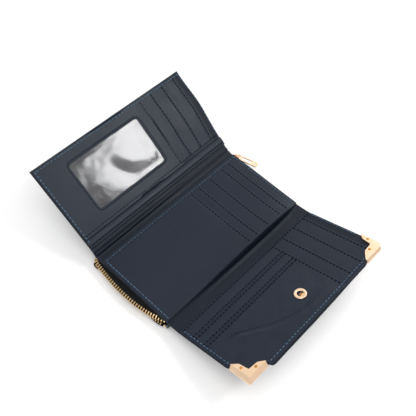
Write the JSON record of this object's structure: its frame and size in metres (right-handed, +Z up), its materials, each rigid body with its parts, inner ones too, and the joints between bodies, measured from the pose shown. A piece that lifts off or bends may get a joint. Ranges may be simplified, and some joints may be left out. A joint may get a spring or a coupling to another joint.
{
  "type": "trifold wallet",
  "caption": "Trifold leather wallet with a zip pouch under its centre section, card slots, slip pockets, an identity window, a snap closure and metal corner caps.",
  "frame": {"origin": "on the flat underside of the zip pouch, below the middle of the centre section", "axes": "+X across the folds towards the flap with the corner caps, +Y along the folds towards the zip's closed side, +Z up, the inner side's way"},
  "size_m": [0.2946, 0.2219, 0.0723],
  "materials": {
    "navy_leather": "fine-grained navy leather, soft sheen",
    "pocket_leather": "smooth navy leather, stitched edges",
    "lining_leather": "thin navy lining leather",
    "lining_cloth": "dark woven lining",
    "zip_tape": "black woven zip tape",
    "stiffener": "pressed fibre board",
    "gold_metal": "polished pale gold plating",
    "clear_film": "clear crinkled film"
  },
  "bodies": {
    "pouch": {"pouch_back_leather": "navy_leather", "pouch_back_lining": "lining_cloth", "pouch_spine": "navy_leather", "zip_teeth_lower": "gold_metal", "zip_tape_lower": "zip_tape", "zip_top_stop_lower": "gold_metal", "zip_bottom_stop": "gold_metal"},
    "centre": {"centre_leather": "navy_leather", "centre_lining": "lining_leather", "centre_seam_left": "lining_leather", "centre_seam_near": "lining_leather", "centre_seam_far": "lining_leather", "centre_slip_pocket": "pocket_leather", "centre_card_slot_1": "pocket_leather", "centre_card_slot_2": "pocket_leather", "centre_card_slot_3": "pocket_leather", "centre_card_slot_4": "pocket_leather", "centre_front_pocket": "pocket_leather", "centre_board": "stiffener", "pouch_ceiling_lining": "lining_cloth", "zip_teeth_upper": "gold_metal", "zip_tape_upper": "zip_tape", "zip_top_stop_upper": "gold_metal"},
    "left_spine": {"left_spine_leather": "navy_leather", "left_spine_lining": "lining_leather"},
    "left_flap": {"left_leather": "navy_leather", "left_board": "stiffener", "left_lining": "lining_leather", "left_fold_band": "pocket_leather", "left_card_slot_1": "pocket_leather", "left_card_slot_2": "pocket_leather", "left_card_slot_3": "pocket_leather", "left_window_panel": "pocket_leather", "left_window_film": "clear_film", "snap_stud": "gold_metal"},
    "right_spine": {"right_spine_leather": "navy_leather", "right_spine_lining": "lining_leather"},
    "right_flap": {"right_leather": "navy_leather", "right_lining": "lining_leather", "right_card_slot_1": "pocket_leather", "right_card_slot_2": "pocket_leather", "right_card_slot_3": "pocket_leather", "right_strip_pocket_inner": "pocket_leather", "right_strip_pocket_outer": "pocket_leather", "right_snap_panel": "pocket_leather", "snap_socket": "gold_metal", "snap_outer_cap": "gold_metal", "corner_cap_near": "gold_metal", "corner_cap_far": "gold_metal", "cap_rivet_near_1": "gold_metal", "cap_rivet_near_2": "gold_metal", "cap_rivet_far_1": "gold_metal", "cap_rivet_far_2": "gold_metal"},
    "zip_slider": {"zip_slider": "gold_metal"},
    "zip_puller": {"zip_puller": "gold_metal"}
  },
  "joints": [
    {"name": "pouch_opening", "type": "hinge", "parent": "pouch", "child": "centre", "pos_m": [0.0514, 0, 0.01295], "axis": [0, 1, 0], "range_deg": [0, 16]},
    {"name": "left_spine_fold", "type": "hinge", "parent": "centre", "child": "left_spine", "pos_m": [-0.05, 0, 0.0145], "axis": [0, 1, 0], "range_deg": [-10, 48]},
    {"name": "left_flap_fold", "type": "hinge", "parent": "left_spine", "child": "left_flap", "pos_m": [-0.05595, 0, 0.01985], "axis": [0, 1, 0], "range_deg": [-20.9, 100.5]},
    {"name": "right_spine_fold", "type": "hinge", "parent": "centre", "child": "right_spine", "pos_m": [0.05255, 0, 0.0145], "axis": [0, -1, 0], "range_deg": [-7, 83]},
    {"name": "right_flap_fold", "type": "hinge", "parent": "right_spine", "child": "right_flap", "pos_m": [0.06684, 0, 0.01625], "axis": [0, -1, 0], "range_deg": [-6.68, 79.2]},
    {"name": "zip_travel", "type": "slide", "parent": "centre", "child": "zip_slider", "axis": [1, 0, 0], "range_m": [0, 0.078]},
    {"name": "puller_swing", "type": "hinge", "parent": "zip_slider", "child": "zip_puller", "pos_m": [-0.0395, 0.1047, 0.0102], "axis": [0.2756, -0.9613, 0], "range_deg": [0, 90]}
  ],
  "couplings": [
    {"joint": "left_spine_fold", "follows": "left_flap_fold", "ratio": 0.4771},
    {"joint": "right_flap_fold", "follows": "right_spine_fold", "ratio": 0.9542},
    {"joint": "zip_travel", "follows": "pouch_opening", "m_per_rad": 0.279}
  ]
}
